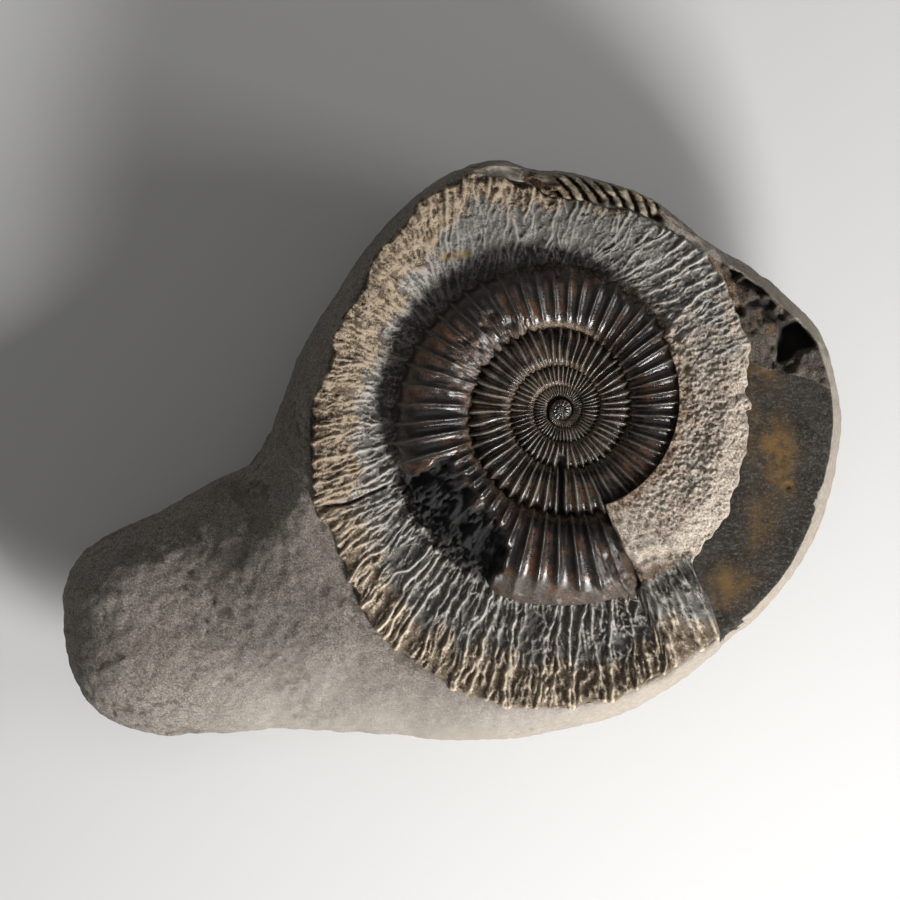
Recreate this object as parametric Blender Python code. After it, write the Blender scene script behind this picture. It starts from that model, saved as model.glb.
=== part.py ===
"""A prepared ammonite standing in the bowl cut into its limestone nodule.

The stone lies on its back on a small flat spot, with the fossil facing up. Lengths are in millimetres
until the meshes are made. Angles are in degrees, counter-clockwise from +X about the ammonite's centre.
"""
import math

import bmesh
import bpy
import numpy as np

MM = 0.001

# The widest outline of the stone, seen from above, clockwise from its highest point
OUTLINE = [
    (13.0, 68.0), (18.5, 66.2), (27.5, 65.4), (34.5, 63.4), (41.5, 61.6), (48.0, 58.8), (53.5, 54.8),
    (58.0, 50.6), (63.0, 47.1), (70.0, 43.1), (77.8, 37.0), (84.0, 30.9), (88.0, 25.0), (90.6, 16.8),
    (91.6, 8.8), (91.2, 0.6), (88.6, -11.4), (85.0, -21.0), (80.4, -29.7), (73.6, -37.7), (67.0, -43.1),
    (60.2, -49.2), (52.2, -55.3), (42.5, -60.7), (34.0, -63.8), (24.0, -65.8), (14.3, -67.6),
    (4.9, -68.0), (-4.7, -67.8), (-12.7, -66.6), (-30.3, -65.9), (-39.7, -65.5), (-48.0, -66.5),
    (-57.1, -66.6), (-66.7, -67.1), (-74.7, -66.0), (-81.5, -62.9), (-86.2, -58.6), (-89.2, -53.2),
    (-91.0, -46.7), (-91.6, -38.4), (-90.9, -31.6), (-88.1, -25.7), (-84.1, -21.5), (-78.7, -18.2),
    (-71.9, -15.6), (-65.3, -12.4), (-58.5, -8.2), (-52.0, -5.0), (-48.2, -3.6), (-44.6, 1.3),
    (-40.9, 8.8), (-37.6, 16.8), (-34.3, 23.6), (-30.3, 30.4), (-26.1, 37.0), (-22.1, 43.8),
    (-16.7, 50.6), (-11.3, 56.5), (-5.9, 61.5), (0.7, 65.4), (6.6, 67.4),
]

# The crest where the cut bowl meets the outer skin, clockwise from the right of the ammonite
RIM = [
    (67.9, 4.7), (67.9, 12.7), (67.8, 23.1), (66.2, 30.5), (63.4, 37.2), (60.7, 41.7), (57.3, 45.3),
    (52.8, 48.5), (48.2, 51.3), (44.6, 53.3), (40.0, 55.1), (34.4, 56.1), (28.6, 56.9), (22.6, 58.0),
    (18.6, 60.6), (12.6, 61.8), (4.6, 62.3), (-2.4, 59.0), (-11.1, 50.8), (-16.2, 45.0), (-20.8, 36.9),
    (-26.5, 23.1), (-28.2, 17.3), (-30.9, 11.7), (-32.0, 4.7), (-31.6, -2.2), (-30.4, -12.5),
    (-26.9, -18.3), (-24.2, -26.4), (-21.9, -33.3), (-17.2, -40.2), (-11.6, -46.0), (-4.6, -51.1),
    (3.4, -55.7), (11.6, -58.1), (20.8, -59.0), (30.0, -58.6), (39.2, -56.4), (48.4, -52.1),
    (57.0, -46.5), (62.0, -43.3), (59.4, -34.4), (55.3, -25.2), (61.1, -18.3), (65.7, -6.8),
]

# Levels of the bowl's wall, each at an angle about the ammonite, from its foot out to the rim. Between
# 297 and 420 degrees the two middle ones carry the rough lump left on the end of the last whorl.
FOOT_LEVEL = [
    (0, 56), (40, 55.5), (60, 53.5), (80, 51.5), (110, 50), (180, 49.5), (230, 50), (260, 51), (288, 52),
    (300, 55), (330, 56.5),
]
LOWER_WALL_LEVEL = [
    (0, 59.5), (35, 58.5), (60, 56), (80, 55), (110, 54.5), (180, 54), (230, 53.5), (260, 53), (290, 53),
    (301, 57), (330, 60),
]
UPPER_WALL_LEVEL = [
    (0, 59.5), (40, 59), (80, 59.3), (110, 59.5), (180, 59.5), (230, 57.5), (260, 55.8), (290, 53.8),
    (302, 52.5), (312, 56.5), (330, 59.5),
]
RIM_LEVEL = [
    (0, 56.5), (45, 60), (75, 61), (110, 62), (150, 62.5), (180, 62), (215, 60.5), (250, 58.5),
    (280, 57), (302, 55.5), (312, 54.5), (330, 56.5),
]
BOWL_WALL = [(0, FOOT_LEVEL), (0.35, LOWER_WALL_LEVEL), (0.7, UPPER_WALL_LEVEL), (1, RIM_LEVEL)]
# How far beyond the rim the shoulder takes to fall, and how wide its outer edge is rounded at most
SHOULDER_REACH = [
    (0, 1.6), (40, 4), (55, 14), (90, 16), (180, 15), (192, 12), (215, 26), (240, 30), (270, 20),
    (298, 12), (306, 2), (312, 1.6),
]
EDGE_ROUNDING_LEAST = 2.0
EDGE_ROUNDING = [
    (0, 3), (40, 4), (60, 6), (90, 8), (150, 12), (180, 22), (240, 24), (270, 14), (298, 6), (306, 3),
]

# The dark fresh break at the right: its level at BREAK_START_X and its fall per millimetre
BREAK_LEVEL = 50.5
BREAK_START_X = 66.0
BREAK_FALL = 0.24
BREAK_ANGLES = (-54.0, 46.0)
# Chips out of the broken corner: their middles, reach and depth
CHIPS = [((79.5, 25.0), 4.6, 3.6), ((71.5, 36.5), 3.4, 2.4)]

# The side lobe's crest, and the level of the widest outline of the body and of the lobe
LOBE_CREST = 47.0
BODY_WAIST = 30.0
LOBE_WAIST = 25.0
WAIST_CHANGE_X = (-80.0, -20.0)

# The underside: an ellipse that stands on the ground, under the centre of mass
FLAT_CENTRE = (8.0, -3.0)
FLAT_RADII = (31.0, 23.0)
BELLY_POWER = 1.35

# The ammonite: the spiral of its outer edge, which is the seam of the next whorl
COIL_CENTRE = (25.8, 9.3)
COIL_RADIUS = 44.3
COIL_RADIUS_ANGLE = 270.0
COIL_GROWTH = 1.80
COIL_END = 297.0
COIL_TURNS = 4
RIBS_PER_TURN = 52
COIL_MIDDLE_LEVEL = 51.0
COIL_SEAM_RISE = 0.09
WHORL_HEIGHT = 0.155
RIB_HEIGHT = 0.024
COIL_BASE_LEVEL = 46.0
COIL_CORE_RISE = 1.0

# The print of a second shell's ribs along the top margin
PRINT_ANGLES = (56.0, 88.0)
PRINT_RIBS = 8
PRINT_HEIGHT = 0.9

RAYS = 130
CHISEL_RIDGE = 0.7
CHISEL_JAG = 0.8
# Shares of half a wave where the chiselled ridges start at the foot and end at the rim
CHISEL_SPAN = (0.1, 0.8)
CLEARANCE = 0.35
SKIN_STEPS = (0.05, 0.16, 0.34, 0.54, 0.72, 0.86, 0.95, 1.0)
BELLY_STEPS = (18, 38, 58, 76, 90)
# Across a whorl: the share of its width, and the share of its height there
WHORL_SECTION = [(0.0, 0.0), (0.2, 0.78), (0.5, 1.0), (0.82, 0.72), (1.0, 0.0)]
# How far the last whorl is lost, from one share of its width to another: broken away near 215
# degrees, worn down near 275
LOSS_FROM, LOSS_FULL = 0.2, 0.82
WHORL_LOSS = [(196, 0), (206, 3.0), (222, 3.6), (234, 1.0), (248, 1.2), (275, 2.2), (297, 2.6)]


def smooth_closed_curve(points, steps=12):
    """A closed Catmull-Rom curve through the points, as an array of positions."""
    p = np.array(points, dtype=float)
    before, after, beyond = np.roll(p, 1, axis=0), np.roll(p, -1, axis=0), np.roll(p, -2, axis=0)
    pieces = []
    for t in np.arange(steps) / steps:
        pieces.append(0.5 * (2 * p + (after - before) * t
                             + (2 * before - 5 * p + 4 * after - beyond) * t ** 2
                             + (3 * p - before - 3 * after + beyond) * t ** 3))
    return np.stack(pieces, axis=1).reshape(-1, 2)


def radius_of(curve, angles):
    """The curve's distance from the ammonite's centre at each angle."""
    x, y = curve[:, 0] - COIL_CENTRE[0], curve[:, 1] - COIL_CENTRE[1]
    around = np.degrees(np.arctan2(y, x)) % 360
    order = np.argsort(around)
    return np.interp(angles, around[order], np.hypot(x, y)[order], period=360)


def eased(knots, angles):
    """Values given at a few angles, with a smooth change between them."""
    at = np.array([k[0] for k in knots], dtype=float)
    values = np.array([k[1] for k in knots], dtype=float)
    angles = np.asarray(angles, dtype=float) % 360
    at = np.append(at, at[0] + 360)
    values = np.append(values, values[0])
    angles = np.where(angles < at[0], angles + 360, angles)
    k = np.clip(np.searchsorted(at, angles, side="right") - 1, 0, len(at) - 2)
    t = (angles - at[k]) / (at[k + 1] - at[k])
    return values[k] + (values[k + 1] - values[k]) * (3 * t ** 2 - 2 * t ** 3)


def place(angles, radius):
    """Positions at a distance from the ammonite's centre."""
    turn = np.radians(angles)
    return COIL_CENTRE[0] + radius * np.cos(turn), COIL_CENTRE[1] + radius * np.sin(turn)


def distance_to(curve, x, y):
    """The distance from each position to the nearest point of the curve."""
    gaps = [np.hypot(x - cx, y - cy) for cx, cy in curve]
    return np.min(gaps, axis=0)


def waist_level(x):
    """The level of the stone's widest outline, a little lower on the lobe."""
    low, high = WAIST_CHANGE_X
    t = np.clip((x - low) / (high - low), 0, 1)
    return LOBE_WAIST + (BODY_WAIST - LOBE_WAIST) * (3 * t ** 2 - 2 * t ** 3)


def signed(angles):
    """Angles from -180 to 180."""
    return (np.asarray(angles) + 180) % 360 - 180


def outer_level(angles, radius, rim_radius, outline):
    """The level of the stone's upper skin outside the rim."""
    x, y = place(angles, radius)
    broken = (signed(angles) > BREAK_ANGLES[0]) & (signed(angles) < BREAK_ANGLES[1])
    far = np.where(broken, BREAK_LEVEL - BREAK_FALL * (x - BREAK_START_X), LOBE_CREST)
    fall = np.exp(-((radius - rim_radius) / eased(SHOULDER_REACH, angles)) ** 2)
    crest = far + (eased(RIM_LEVEL, angles) - far) * fall
    for middle, reach, deep in CHIPS:
        crest = crest - deep * np.exp(-((x - middle[0]) ** 2 + (y - middle[1]) ** 2) / reach ** 2)
    rim_x, rim_y = place(angles, rim_radius)
    room = distance_to(outline, rim_x, rim_y)
    width = np.clip(room, EDGE_ROUNDING_LEAST, eased(EDGE_ROUNDING, angles))
    depth = np.minimum(1, distance_to(outline, x, y) / width)
    waist = waist_level(x)
    ribs = (angles - PRINT_ANGLES[0]) / (PRINT_ANGLES[1] - PRINT_ANGLES[0])
    printed = np.where((ribs > 0) & (ribs < 1), np.sin(np.pi * ribs * PRINT_RIBS) ** 2, 0)
    print_height = PRINT_HEIGHT * printed * np.sin(np.pi * depth)
    return waist + (crest - waist) * np.sqrt(1 - (1 - depth) ** 2) + print_height


def coil_radius(angles):
    return COIL_RADIUS * COIL_GROWTH ** ((angles - COIL_RADIUS_ANGLE) / 360)


def recess_radius(angles):
    """The wall of the recess that holds the ammonite, with the clearance that keeps them apart."""
    end = COIL_END + 360 / RAYS
    return coil_radius((angles - end) % 360 + end - 360) + CLEARANCE


def add_object(name, rings, colour, roughness):
    """One closed body from rings of positions: a point, rings with the same count, and a point."""
    mesh = bmesh.new()
    made = [[mesh.verts.new([v * MM for v in p]) for p in ring] for ring in rings]
    for inner, outer in zip(made, made[1:]):
        count = max(len(inner), len(outer))
        for i in range(count):
            j = (i + 1) % count
            corners = [inner[i % len(inner)], outer[i % len(outer)], outer[j % len(outer)],
                       inner[j % len(inner)]]
            mesh.faces.new(list(dict.fromkeys(corners)))
    finish(name, mesh, colour, roughness)


def finish(name, mesh, colour, roughness):
    """Turn the mesh into a named object with its own material."""
    bmesh.ops.triangulate(mesh, faces=mesh.faces[:])
    bmesh.ops.recalc_face_normals(mesh, faces=mesh.faces[:])
    data = bpy.data.meshes.new(name)
    mesh.to_mesh(data)
    mesh.free()
    data.shade_smooth()
    data.set_sharp_from_angle(angle=math.radians(35))
    material = bpy.data.materials.new(name)
    material.use_nodes = True
    shader = material.node_tree.nodes["Principled BSDF"]
    shader.inputs["Base Color"].default_value = (*colour, 1)
    shader.inputs["Roughness"].default_value = roughness
    shader.inputs["Metallic"].default_value = 0.0
    data.materials.append(material)
    item = bpy.data.objects.new(name, data)
    bpy.context.collection.objects.link(item)


def build_nodule():
    """The stone, in rings from the recess floor out over the rim and down to the flat spot."""
    angles = np.arange(RAYS) * 360 / RAYS
    outline = smooth_closed_curve(OUTLINE)
    outer = radius_of(outline, angles)
    ridge = np.where(np.arange(RAYS) % 2 == 0, 1, -1)
    rim = radius_of(smooth_closed_curve(RIM), angles) + CHISEL_JAG * ridge
    recess = recess_radius(angles)

    def ring(radius, level):
        x, y = place(angles, radius)
        return list(zip(x, y, np.broadcast_to(level, x.shape)))

    floor_level = COIL_BASE_LEVEL - CLEARANCE
    rings = [[(*COIL_CENTRE, floor_level)], ring(recess, floor_level)]
    for t, levels in BOWL_WALL:
        wave = CHISEL_SPAN[0] + (CHISEL_SPAN[1] - CHISEL_SPAN[0]) * t
        depth = CHISEL_RIDGE * ridge * math.sin(math.pi * wave)
        rings.append(ring(recess + (rim - recess) * t, eased(levels, angles) + depth))
    for t in SKIN_STEPS:
        radius = rim + (outer - rim) * t
        rings.append(ring(radius, outer_level(angles, radius, rim, outline)))
    edge_x, edge_y = place(angles, outer)
    turn = np.arctan2(edge_y - FLAT_CENTRE[1], edge_x - FLAT_CENTRE[0])
    flat_x = FLAT_CENTRE[0] + FLAT_RADII[0] * np.cos(turn)
    flat_y = FLAT_CENTRE[1] + FLAT_RADII[1] * np.sin(turn)
    for step in BELLY_STEPS:
        out = math.cos(math.radians(step))
        level = waist_level(edge_x) * (1 - math.sin(math.radians(step)) ** BELLY_POWER)
        x, y = flat_x + (edge_x - flat_x) * out, flat_y + (edge_y - flat_y) * out
        rings.append(list(zip(x, y, level)))
    rings.append([(*FLAT_CENTRE, 0.0)])
    add_object("nodule", rings, (0.42, 0.38, 0.34), 0.85)


def whorl_point(angle, share, height, rib):
    """A point on the coil: share runs across the whorl from its inner seam to its outer one."""
    inner, outer = coil_radius(angle - 360), coil_radius(angle)
    radius = inner + (outer - inner) * share
    level = COIL_MIDDLE_LEVEL + COIL_SEAM_RISE * radius + outer * (WHORL_HEIGHT * height + rib)
    if angle > WHORL_LOSS[0][0]:
        loss = np.interp(angle, *zip(*WHORL_LOSS))
        level -= loss * height * max(0.0, share - LOSS_FROM) / (LOSS_FULL - LOSS_FROM)
    return (*place(angle, radius), level)


def build_ammonite():
    """The coil: ribbed whorls that share their seams, closed by an outer wall and a flat base."""
    per_turn = 2 * RIBS_PER_TURN
    last = COIL_TURNS * per_turn
    start = COIL_END - COIL_TURNS * 360
    mesh = bmesh.new()

    def vertex(point):
        return mesh.verts.new([v * MM for v in point])

    seam = {}
    for i in range(last + per_turn + 1):
        seam[i] = vertex(whorl_point(start + i * 360 / per_turn, 0, 0, 0))
    rows = []
    for i in range(last + 1):
        angle = start + i * 360 / per_turn
        rib = RIB_HEIGHT * (1 if i % 2 == 0 else -1)
        middle = [vertex(whorl_point(angle, share, height, rib * height))
                  for share, height in WHORL_SECTION[1:-1]]
        rows.append([seam[i], *middle, seam[i + per_turn]])
    for row, following in zip(rows, rows[1:]):
        for k in range(len(row) - 1):
            mesh.faces.new([row[k], row[k + 1], following[k + 1], following[k]])
    core_level = COIL_MIDDLE_LEVEL + COIL_CORE_RISE
    core = vertex((*COIL_CENTRE, core_level))
    inside = [seam[i] for i in range(per_turn + 1)] + rows[0][-2:0:-1]
    for a, b in zip(inside, inside[1:] + inside[:1]):
        mesh.faces.new([core, a, b])
    outside = [seam[i] for i in range(last, last + per_turn + 1)] + rows[last][-2:0:-1]
    below = [vertex((v.co.x / MM, v.co.y / MM, COIL_BASE_LEVEL)) for v in outside]
    count = len(outside)
    for i in range(count):
        j = (i + 1) % count
        mesh.faces.new([outside[i], outside[j], below[j], below[i]])
    mesh.faces.new(below)
    finish("ammonite", mesh, (0.035, 0.024, 0.018), 0.35)


for leftover in list(bpy.data.objects):
    bpy.data.objects.remove(leftover, do_unlink=True)
build_nodule()
build_ammonite()
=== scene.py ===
"""The finished look of a prepared ammonite in its limestone nodule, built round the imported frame.

Shapes are worked out in millimetres, in the frame's own axes, and angles are in degrees,
counter-clockwise from +X about the ammonite's centre. The stone's skin is one remeshed body, the bowl
cut into it is a fine polar sheet closed underneath, and the ammonite is one long ribbed tube.
"""
import math

import bpy
import numpy as np
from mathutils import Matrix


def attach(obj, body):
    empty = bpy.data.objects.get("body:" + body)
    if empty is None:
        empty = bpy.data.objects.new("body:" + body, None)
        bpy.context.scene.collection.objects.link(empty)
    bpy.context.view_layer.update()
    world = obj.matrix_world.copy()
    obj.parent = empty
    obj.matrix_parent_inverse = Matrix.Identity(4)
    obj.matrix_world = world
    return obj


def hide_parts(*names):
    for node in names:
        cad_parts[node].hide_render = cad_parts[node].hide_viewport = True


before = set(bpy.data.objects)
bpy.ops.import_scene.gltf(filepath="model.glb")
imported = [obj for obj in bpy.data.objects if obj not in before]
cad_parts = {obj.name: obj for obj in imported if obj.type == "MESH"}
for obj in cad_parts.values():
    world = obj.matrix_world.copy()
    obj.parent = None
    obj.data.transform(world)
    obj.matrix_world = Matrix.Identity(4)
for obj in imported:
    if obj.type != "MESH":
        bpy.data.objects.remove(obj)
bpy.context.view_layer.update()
MM = 0.001

# The stone, as in the frame: its widest outline, clockwise, and the bowl's crest, counter-clockwise
OUTLINE = [
    (13, 68), (18.5, 66.2), (27.5, 65.4), (34.5, 63.4), (41.5, 61.6), (48, 58.8), (53.5, 54.8),
    (58, 50.6), (63, 47.1), (70, 43.1), (77.8, 37), (84, 30.9), (88, 25), (90.6, 16.8),
    (91.6, 8.8), (91.2, 0.6), (88.6, -11.4), (85, -21), (80.4, -29.7), (73.6, -37.7), (67, -43.1),
    (60.2, -49.2), (52.2, -55.3), (42.5, -60.7), (34, -63.8), (24, -65.8), (14.3, -67.6),
    (4.9, -68), (-4.7, -67.8), (-12.7, -66.6), (-30.3, -65.9), (-39.7, -65.5), (-48, -66.5),
    (-57.1, -66.6), (-66.7, -67.1), (-74.7, -66), (-81.5, -62.9), (-86.2, -58.6), (-89.2, -53.2),
    (-91, -46.7), (-91.6, -38.4), (-90.9, -31.6), (-88.1, -25.7), (-84.1, -21.5), (-78.7, -18.2),
    (-71.9, -15.6), (-65.3, -12.4), (-58.5, -8.2), (-52, -5), (-48.2, -3.6), (-44.6, 1.3),
    (-40.9, 8.8), (-37.6, 16.8), (-34.3, 23.6), (-30.3, 30.4), (-26.1, 37), (-22.1, 43.8),
    (-16.7, 50.6), (-11.3, 56.5), (-5.9, 61.5), (0.7, 65.4), (6.6, 67.4),
]
RIM = [
    (67.9, 4.7), (67.9, 12.7), (67.8, 23.1), (66.2, 30.5), (63.4, 37.2), (60.7, 41.7), (57.3, 45.3),
    (52.8, 48.5), (48.2, 51.3), (44.6, 53.3), (40, 55.1), (34.4, 56.1), (28.6, 56.9), (22.6, 58),
    (18.6, 60.6), (12.6, 61.8), (4.6, 62.3), (-2.4, 59), (-11.1, 50.8), (-16.2, 45), (-20.8, 36.9),
    (-26.5, 23.1), (-28.2, 17.3), (-30.9, 11.7), (-32, 4.7), (-31.6, -2.2), (-30.4, -12.5),
    (-26.9, -18.3), (-24.2, -26.4), (-21.9, -33.3), (-17.2, -40.2), (-11.6, -46), (-4.6, -51.1),
    (3.4, -55.7), (11.6, -58.1), (20.8, -59), (30, -58.6), (39.2, -56.4), (48.4, -52.1),
    (57, -46.5), (62, -43.3), (59.4, -34.4), (55.3, -25.2), (61.1, -18.3), (65.7, -6.8),
]

# Angles round the ammonite with the level at each, as in the frame
FOOT_LEVEL = [
    (0, 56), (40, 55.5), (60, 53.5), (80, 51.5), (110, 50), (180, 49.5), (230, 50), (260, 51), (288, 52),
    (300, 55), (330, 56.5),
]
LOWER_WALL_LEVEL = [
    (0, 59.5), (35, 58.5), (60, 56), (80, 55), (110, 54.5), (180, 54), (230, 53.5), (260, 53), (290, 53),
    (301, 57), (330, 60),
]
UPPER_WALL_LEVEL = [
    (0, 59.5), (40, 59), (80, 59.3), (110, 59.5), (180, 59.5), (230, 57.5), (260, 55.8), (290, 53.8),
    (302, 52.5), (312, 56.5), (330, 59.5),
]
RIM_LEVEL = [
    (0, 56.5), (45, 60), (75, 61), (110, 62), (150, 62.5), (180, 62), (215, 60.5), (250, 58.5),
    (280, 57), (302, 55.5), (312, 54.5), (330, 56.5),
]
WALL_STEPS = (0, 0.35, 0.7, 1)
WALL_LEVELS = (FOOT_LEVEL, LOWER_WALL_LEVEL, UPPER_WALL_LEVEL, RIM_LEVEL)
# How far the rim's height carries outwards, and how wide the outline's rounded edge is
SHOULDER_REACH = [
    (0, 1.6), (40, 4), (55, 14), (90, 16), (180, 15), (192, 12), (215, 26), (240, 30), (270, 20),
    (298, 12), (306, 2), (312, 1.6),
]
EDGE_ROUNDING = [
    (0, 3), (40, 4), (60, 6), (90, 8), (150, 12), (180, 22), (240, 24), (270, 14), (298, 6), (306, 3),
]
BREAK_LEVEL = 50.5
BREAK_START_X = 66
BREAK_FALL = 0.24
BREAK_ANGLES = (-52, 46)
LOBE_CREST = 47
BODY_WAIST = 30
LOBE_WAIST = 25
WAIST_CHANGE_X = (-80, -20)
FLAT_CENTRE = (8, -3)
FLAT_RADII = (31, 23)
BELLY_POWER = 1.35

# The coil, as in the frame
COIL_CENTRE = (25.8, 9.3)
COIL_RADIUS = 44.3
COIL_RADIUS_ANGLE = 270
COIL_GROWTH = 1.8
RIBS_PER_TURN = 52
RIB_STAGGER = 0.37
COIL_MIDDLE_LEVEL = 51
HIGHEST, SPARE = 62, 0.7


# Repeatable random patterns


def hashed(ix, iy, iz, seed):
    """A number from 0 to 1 for each whole-number position."""
    h = (ix * 374761393 + iy * 668265263 + iz * 1440662683 + seed * 974634777) & 0xFFFFFFFF
    h = ((h ^ (h >> 13)) * 1274126177) & 0xFFFFFFFF
    return ((h ^ (h >> 16)) & 0xFFFFFF) / 0xFFFFFF


def noise(p, size, seed, octaves=1):
    """Smooth values from about -1 to 1 whose widest lumps are about size across."""
    turn = np.array([[0.36, 0.48, -0.8], [-0.8, 0.6, 0], [0.48, 0.64, 0.6]])
    total, scale, weight = 0, 1 / size, 1
    q = p @ turn.T
    for octave in range(octaves):
        cell = np.floor(q * scale)
        f = q * scale - cell
        f = f * f * f * (f * (f * 6 - 15) + 10)
        i = cell.astype(np.int64)
        value = 0
        for corner in range(8):
            dx, dy, dz = corner & 1, corner >> 1 & 1, corner >> 2
            share = (f[..., 0] if dx else 1 - f[..., 0]) * (f[..., 1] if dy else 1 - f[..., 1])
            share = share * (f[..., 2] if dz else 1 - f[..., 2])
            value = value + share * hashed(i[..., 0] + dx, i[..., 1] + dy, i[..., 2] + dz, seed + octave)
        total = total + weight * (value * 2 - 1)
        q = q @ turn.T
        scale, weight = scale * 2.03, weight * 0.5
    return total


def cells(p, size, seed):
    """Distance to the nearest of scattered points, in sizes, that point's own number from 0 to 1, and
    the way from it."""
    q = p / size
    base = np.floor(q).astype(np.int64)
    nearest = np.full(q.shape[:-1], 9.0)
    number = np.zeros(q.shape[:-1])
    way = np.zeros(q.shape)
    for step in np.ndindex(3, 3, 3):
        c = base + (np.array(step) - 1)
        x, y, z = c[..., 0], c[..., 1], c[..., 2]
        away = q - c - joined(*(hashed(x, y, z, seed + k) for k in range(3)))
        d = np.linalg.norm(away, axis=-1)
        nearer = d < nearest
        number = np.where(nearer, hashed(x, y, z, seed + 7), number)
        way = np.where(nearer[..., None], away, way)
        nearest = np.where(nearer, d, nearest)
    return nearest, number, way


def facets(p, size, seed, slope=0.8):
    """Flat facets at uneven levels and tilts, like broken stone, from about -1 to 1."""
    _, number, way = cells(p, size, seed)
    lean_x, lean_y = 2 * (number * 61.7 % 1) - 1, 2 * (number * 173.3 % 1) - 1
    return 2 * number - 1 + 2 * slope * (lean_x * way[..., 0] + lean_y * way[..., 1])


# Small helpers


def joined(*parts):
    """Positions from their coordinates, each an array or one number for all."""
    return np.stack(np.broadcast_arrays(*parts), axis=-1)


def capped(level):
    """Levels eased so that none stands higher than the highest and its spare height."""
    return np.where(level > HIGHEST, HIGHEST + SPARE * np.tanh((level - HIGHEST) / SPARE), level)


def bell(value, width, power=2):
    """1 where the value is 0, falling away on both sides."""
    return np.exp(-(value / width) ** power)


def unit(value):
    """The value, held between 0 and 1."""
    return np.clip(value, 0, 1)


def ramp(low, high, value):
    """A smooth step from 0 at low to 1 at high."""
    t = unit((value - low) / (high - low))
    return t * t * (3 - 2 * t)


def window(span, value):
    """1 between the span's two middle values, easing to 0 at its outer two."""
    start, full, going, gone = span
    return ramp(start, full, value) * ramp(gone, going, value)


def between(value, ends):
    return (value > ends[0]) & (value < ends[1])


# Shapes shared by the pieces


def catmull_rom(before, low, high, after, t):
    """A smooth way from low, where t is 0, to high, where it is 1, with the values on either side."""
    return 0.5 * (2 * low + (high - before) * t + (2 * before - 5 * low + 4 * high - after) * t ** 2
                  + (3 * low - before - 3 * high + after) * t ** 3)


def smooth_closed_curve(points, steps=12):
    """A closed Catmull-Rom curve through the points, as an array of positions."""
    p = np.array(points, dtype=float)
    before, after, beyond = (np.roll(p, k, axis=0) for k in (1, -1, -2))
    pieces = [catmull_rom(before, p, after, beyond, t) for t in np.arange(steps) / steps]
    return np.stack(pieces, axis=1).reshape(-1, 2)


def polar(x, y):
    """Angle and distance from the ammonite's centre."""
    x, y = x - COIL_CENTRE[0], y - COIL_CENTRE[1]
    return np.degrees(np.arctan2(y, x)) % 360, np.hypot(x, y)


def place(angles, radius):
    turn = np.radians(angles)
    return COIL_CENTRE[0] + radius * np.cos(turn), COIL_CENTRE[1] + radius * np.sin(turn)


def put(angles, radius, level):
    """Positions at angles round the ammonite, at distances from its centre and at levels."""
    return joined(*place(angles, radius), level)


def radius_of(curve, angles):
    """The curve's distance from the ammonite's centre at each angle."""
    around, distance = polar(curve[:, 0], curve[:, 1])
    order = np.argsort(around)
    return np.interp(angles, around[order], distance[order], period=360)


def eased(knots, angles):
    """Values given at a few angles, with a smooth change between them."""
    at, values = np.array(knots, dtype=float).T
    angles = np.asarray(angles, dtype=float) % 360
    at = np.append(at, at[0] + 360)
    values = np.append(values, values[0])
    angles = np.where(angles < at[0], angles + 360, angles)
    k = np.clip(np.searchsorted(at, angles, side="right") - 1, 0, len(at) - 2)
    t = (angles - at[k]) / (at[k + 1] - at[k])
    return values[k] + (values[k + 1] - values[k]) * (3 * t ** 2 - 2 * t ** 3)


def distance_to(curve, x, y):
    nearest = np.full(np.shape(x), 1e9)
    for cx, cy in curve:
        nearest = np.minimum(nearest, (x - cx) ** 2 + (y - cy) ** 2)
    return np.sqrt(nearest)


def distance_to_line(x, y, start, end):
    """Distance from the straight stretch between two points."""
    ax, ay = end[0] - start[0], end[1] - start[1]
    t = unit(((x - start[0]) * ax + (y - start[1]) * ay) / (ax * ax + ay * ay))
    return np.hypot(x - start[0] - t * ax, y - start[1] - t * ay)


def signed(angles):
    """Angles from -180 to 180."""
    return (np.asarray(angles) + 180) % 360 - 180


def coil_radius(angles):
    return COIL_RADIUS * COIL_GROWTH ** ((angles - COIL_RADIUS_ANGLE) / 360)


OUTLINE_CURVE = smooth_closed_curve(OUTLINE)
RIM_CURVE = smooth_closed_curve(RIM)


def on_break(angles):
    return between(signed(angles), BREAK_ANGLES)


def break_level(x):
    return BREAK_LEVEL - BREAK_FALL * (x - BREAK_START_X)


def waist_level(x):
    return LOBE_WAIST + (BODY_WAIST - LOBE_WAIST) * ramp(*WAIST_CHANGE_X, x)


def new_object(name, data):
    item = bpy.data.objects.new(name, data)
    bpy.context.collection.objects.link(item)
    return item


def make_object(name, points, faces, material, values=()):
    """A smooth-shaded mesh from positions in millimetres, with named values, from 0 to 1, at its points."""
    data = bpy.data.meshes.new(name)
    data.from_pydata((points * MM).tolist(), [], [list(f) for f in faces])
    data.validate()
    for label, value in dict(values).items():
        layer = data.attributes.new(label, "FLOAT", "POINT")
        layer.data.foreach_set("value", unit(value).astype(np.float32).ravel())
    data.shade_smooth()
    data.materials.append(material)
    return new_object(name, data)


def sheet_faces(rows, columns):
    """Quads between rows of points that each close on themselves."""
    index = np.arange(rows * columns).reshape(rows, columns)
    right = np.roll(index, -1, axis=1)
    quads = np.stack([index[:-1], index[1:], right[1:], right[:-1]], axis=-1)
    return quads.reshape(-1, 4)


# The stone's skin

SKIN_RAYS = 400
SKIN_STEPS = 30
BELLY_RINGS = 22
SKIN_BELOW_RIM = 0.9
DISH_LEVEL = 46.5
DISH_INNER, DISH_EDGE = 0.4, 5
LEDGE_REACH, LEDGE_DROP = 2.8, 2.7
SHOULDER_POWER = 1.15
SKIN_VOXEL = 0.72
SKIN_SHRINK = 0.35
PLAIN_BELOW, PLAIN_KEPT = 24, 0.7

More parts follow.
